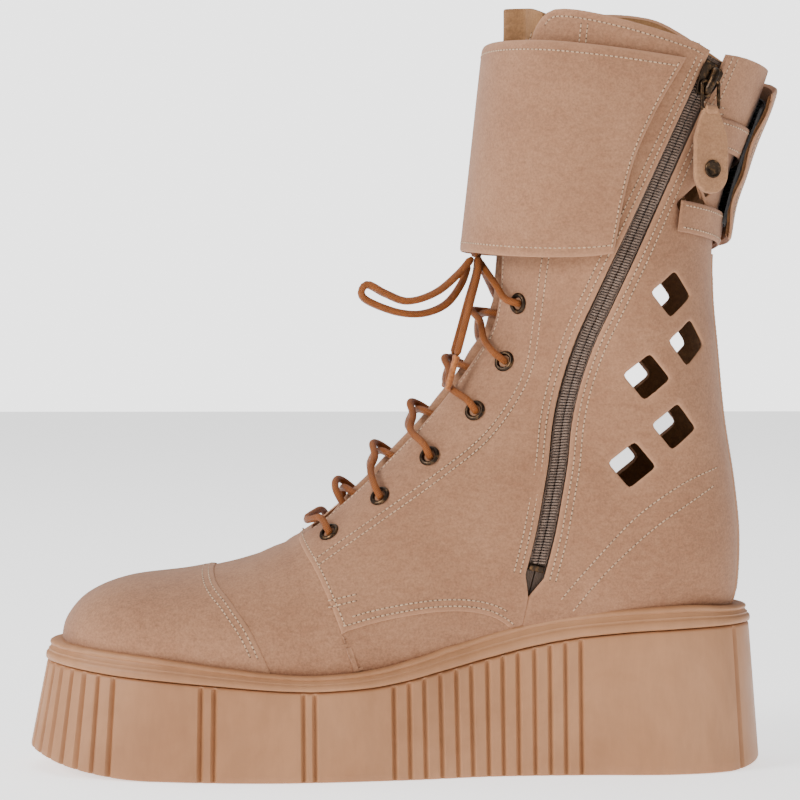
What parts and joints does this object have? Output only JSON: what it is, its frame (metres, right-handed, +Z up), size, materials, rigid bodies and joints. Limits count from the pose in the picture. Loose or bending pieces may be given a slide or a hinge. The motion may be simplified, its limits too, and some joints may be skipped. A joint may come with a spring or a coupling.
{
  "type": "platform boot",
  "caption": "Lace-up platform ankle boot with a side zip, a wrap-over cuff closing at the back and diamond cut-outs.",
  "frame": {"origin": "middle of the base of the boot's bounding box, laces left out, on the ground", "axes": "+Z up, -X towards the toe, +X towards the heel, -Y the medial side with the zip, +Y the lateral side"},
  "size_m": [0.2924, 0.1056, 0.299],
  "materials": {
    "nubuck": "matt nubuck",
    "sole": "satin moulded",
    "foam": "matt",
    "board": "matt fibre board",
    "stiffener": "matt",
    "steel": "pressed spring steel",
    "brass": "dark antique",
    "zip_tape": "woven",
    "zip_coil": "satin monofilament",
    "lace": "waxed round braid",
    "hook_tape": "hook-and-loop"
  },
  "bodies": {
    "boot": {"aglet_lateral": "brass", "aglet_medial": "brass", "backstay": "nubuck", "bow_loop_lateral": "lace", "bow_loop_medial": "lace", "cuff": "nubuck", "footbed": "foam", "heel_counter": "stiffener", "insole_board": "board", "lace_from_lateral_side": "lace", "lace_from_medial_side": "lace", "lace_knot": "lace", "lace_tail_lateral": "lace", "lace_tail_medial": "lace", "lateral_eyelet_1": "brass", "lateral_eyelet_2": "brass", "lateral_eyelet_3": "brass", "lateral_eyelet_4": "brass", "lateral_eyelet_5": "brass", "lateral_eyelet_6": "brass", "lateral_front_quarter": "nubuck", "lateral_rear_quarter": "nubuck", "lower_strap": "nubuck", "medial_eyelet_1": "brass", "medial_eyelet_2": "brass", "medial_eyelet_3": "brass", "medial_eyelet_4": "brass", "medial_eyelet_5": "brass", "medial_eyelet_6": "brass", "medial_front_quarter": "nubuck", "medial_rear_quarter": "nubuck", "platform_sole": "sole", "rear_collar": "nubuck", "steel_shank": "steel", "toe_cap": "nubuck", "toe_puff": "stiffener", "tongue": "nubuck", "upper_strap": "nubuck", "vamp": "nubuck", "welt_band": "sole", "zip_bottom_stop": "brass", "zip_coil_front": "zip_coil", "zip_coil_rear": "zip_coil", "zip_tape_front": "zip_tape", "zip_tape_rear": "zip_tape", "zip_top_stop": "brass"},
    "slider": {"zip_slider": "brass"},
    "puller": {"zip_puller": "brass"},
    "tab": {"pull_tab": "nubuck", "pull_tab_rivet": "brass"},
    "tail": {"cuff_tail": "nubuck", "hook_tape": "hook_tape"}
  },
  "joints": [
    {"name": "slider_slide", "type": "slide", "parent": "boot", "child": "slider", "axis": [-0.4184, -0.0613, -0.9062], "range_m": [0, 0.045]},
    {"name": "puller_hinge", "type": "hinge", "parent": "slider", "child": "puller", "pos_m": [0.1146, -0.0427, 0.2643], "axis": [0.9056, 0.4241, 0], "range_deg": [-80, 0]},
    {"name": "pull_tab_hinge", "type": "hinge", "parent": "puller", "child": "tab", "pos_m": [0.1146, -0.0427, 0.2533], "axis": [0.9056, 0.4241, 0], "range_deg": [-75, 0]},
    {"name": "cuff_tail_hinge", "type": "hinge", "parent": "boot", "child": "tail", "pos_m": [0.1132, 0.0374, 0.2029], "axis": [0.2615, 0.0049, 0.9652], "range_deg": [0, 75]}
  ]
}
